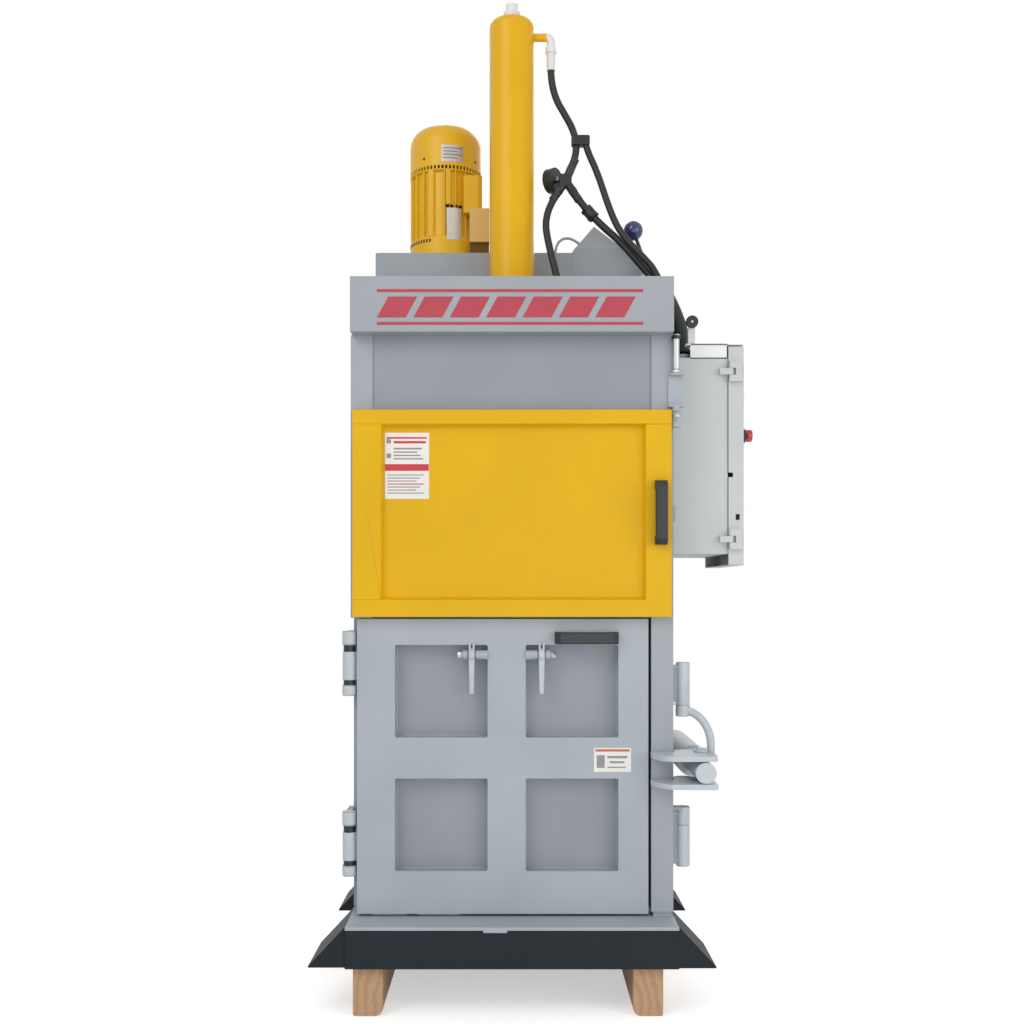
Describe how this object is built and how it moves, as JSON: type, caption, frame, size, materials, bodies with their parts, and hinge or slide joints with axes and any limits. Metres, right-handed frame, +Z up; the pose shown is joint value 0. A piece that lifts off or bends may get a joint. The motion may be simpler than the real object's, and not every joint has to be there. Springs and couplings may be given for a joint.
{
  "type": "recycling baler",
  "caption": "Upright hydraulic baler: a vertical ram presses waste in a steel chamber with a yellow feed door above a locked bale door, on a dark base with timber skids.",
  "frame": {"origin": "centre of the machine's footprint on the floor, under the timber skids", "axes": "+Z up along the ram, +Y to the machine's back, +X to its right as seen from the front"},
  "size_m": [1.353, 0.902, 3.154],
  "materials": {
    "steel_grey": "satin",
    "panel_grey": "satin",
    "latch_grey": "satin",
    "feed_yellow": "semi-gloss",
    "machine_yellow": "gloss",
    "base_black": "satin",
    "cabinet_grey": "satin",
    "zinc": "satin",
    "chrome_rod": "polished",
    "timber": "sawn",
    "handle_black": "matte",
    "hose_rubber": "matte",
    "white_plastic": "matte",
    "ball_navy": "gloss",
    "estop_red": "gloss",
    "lamp_white": "gloss"
  },
  "bodies": {
    "frame": {"timber_skid_left": "timber", "timber_skid_right": "timber", "base_frame": "base_black", "deck_plate": "steel_grey", "wall_left": "steel_grey", "wall_right": "steel_grey", "wall_rear": "steel_grey", "feed_sill": "steel_grey", "upper_panel": "panel_grey", "header_beam": "steel_grey", "top_plate": "steel_grey", "bale_hinge_pins": "zinc", "feed_hinge_pins": "zinc", "cylinder_barrel": "machine_yellow", "cylinder_plug": "white_plastic", "port_elbow": "machine_yellow", "hose_sleeve": "white_plastic", "oil_tank": "panel_grey", "valve_cover": "panel_grey", "motor_body": "machine_yellow", "motor_cowl": "machine_yellow", "manifold_block": "machine_yellow", "valve_block": "zinc", "hose_wrap": "handle_black", "cabinet_box": "cabinet_grey", "cabinet_roof": "cabinet_grey", "switch_bracket": "latch_grey", "limit_switch": "zinc", "travel_switch_body": "white_plastic", "gauge_tee": "zinc", "gauge_body": "handle_black", "hose_upper": "hose_rubber", "hose_lower": "hose_rubber", "hose_branch": "hose_rubber", "cable_branch": "hose_rubber", "cabinet_conduit": "hose_rubber"},
    "feed_door": {"feed_door": "feed_yellow", "feed_door_handle": "handle_black"},
    "bale_door": {"bale_door": "steel_grey", "bale_door_handle": "handle_black"},
    "door_roller": {"door_roller": "zinc"},
    "strap_lever_left": {"strap_lever_left": "latch_grey"},
    "strap_lever_right": {"strap_lever_right": "latch_grey"},
    "lock_yoke": {"lock_shaft": "zinc", "lock_plate_lower": "latch_grey", "lock_yoke": "latch_grey", "lock_pin": "latch_grey"},
    "lock_strut": {"strut_tube": "latch_grey"},
    "lock_rod": {"lock_rod": "latch_grey"},
    "ram": {"piston_rod": "chrome_rod", "press_platen": "steel_grey"},
    "cabinet_lid": {"cabinet_lid": "cabinet_grey", "estop_collar": "handle_black", "pilot_lamp": "lamp_white"},
    "estop_button": {"estop_button": "estop_red"},
    "valve_lever": {"valve_lever": "handle_black", "valve_ball": "ball_navy"},
    "gauge_needle": {"gauge_needle": "estop_red"},
    "motor_rotor": {"motor_rotor": "zinc"},
    "switch_roller": {"travel_switch_roller": "handle_black"}
  },
  "joints": [
    {"name": "feed_door_swing", "type": "hinge", "parent": "frame", "child": "feed_door", "pos_m": [-0.5485, -0.34, 1.166], "axis": [0, 0, -1], "range_deg": [0, 92]},
    {"name": "bale_door_swing", "type": "hinge", "parent": "frame", "child": "bale_door", "pos_m": [-0.5725, -0.309, 0.274], "axis": [0, 0, -1], "range_deg": [0, 120]},
    {"name": "door_roller_spin", "type": "hinge", "parent": "bale_door", "child": "door_roller", "pos_m": [0.3055, -0.305, 0.2803], "axis": [1, 0, 0], "continuous": true},
    {"name": "strap_lever_left_swing", "type": "hinge", "parent": "bale_door", "child": "strap_lever_left", "pos_m": [-0.2035, -0.325, 1.051], "axis": [-1, 0, 0], "range_deg": [0, 100]},
    {"name": "strap_lever_right_swing", "type": "hinge", "parent": "bale_door", "child": "strap_lever_right", "pos_m": [0.0065, -0.325, 1.051], "axis": [-1, 0, 0], "range_deg": [0, 100]},
    {"name": "lock_swing", "type": "hinge", "parent": "frame", "child": "lock_yoke", "pos_m": [0.4355, -0.289, 0.712], "axis": [0, 0, 1], "range_deg": [0, 70]},
    {"name": "lock_strut_swivel", "type": "hinge", "parent": "frame", "child": "lock_strut", "pos_m": [0.4825, 0.311, 0.712], "axis": [0, 0, 1], "range_deg": [0, 1.8]},
    {"name": "lock_rod_slide", "type": "slide", "parent": "lock_strut", "child": "lock_rod", "axis": [0, 1, 0], "range_m": [0, 0.08]},
    {"name": "ram_stroke", "type": "slide", "parent": "frame", "child": "ram", "axis": [0, 0, -1], "range_m": [0, 0.65]},
    {"name": "cabinet_lid_swing", "type": "hinge", "parent": "frame", "child": "cabinet_lid", "pos_m": [0.592, -0.233, 1.371], "axis": [0, 0, -1], "range_deg": [0, 110]},
    {"name": "estop_press", "type": "slide", "parent": "cabinet_lid", "child": "estop_button", "axis": [-1, 0, 0], "range_m": [0, 0.004], "stiffness_N_per_m": 800},
    {"name": "valve_lever_tilt", "type": "hinge", "parent": "frame", "child": "valve_lever", "pos_m": [0.3665, 0.056, 2.304], "axis": [0, 1, 0], "range_deg": [-20, 20], "stiffness_Nm_per_rad": 20},
    {"name": "gauge_needle_turn", "type": "hinge", "parent": "frame", "child": "gauge_needle", "pos_m": [0.04212, 0.03127, 2.59], "axis": [0.8192, -0.5736, 0], "range_deg": [-135, 135], "stiffness_Nm_per_rad": 0.05},
    {"name": "motor_spin", "type": "hinge", "parent": "frame", "child": "motor_rotor", "pos_m": [-0.3095, 0.233, 2.375], "axis": [0, 0, 1], "continuous": true},
    {"name": "switch_roller_spin", "type": "hinge", "parent": "frame", "child": "switch_roller", "pos_m": [0.4735, -0.199, 2.074], "axis": [0, 1, 0], "continuous": true}
  ],
  "couplings": [
    {"joint": "lock_strut_swivel", "follows": "lock_swing", "ratio": 0.0246},
    {"joint": "lock_rod_slide", "follows": "lock_swing", "m_per_rad": 0.062}
  ]
}
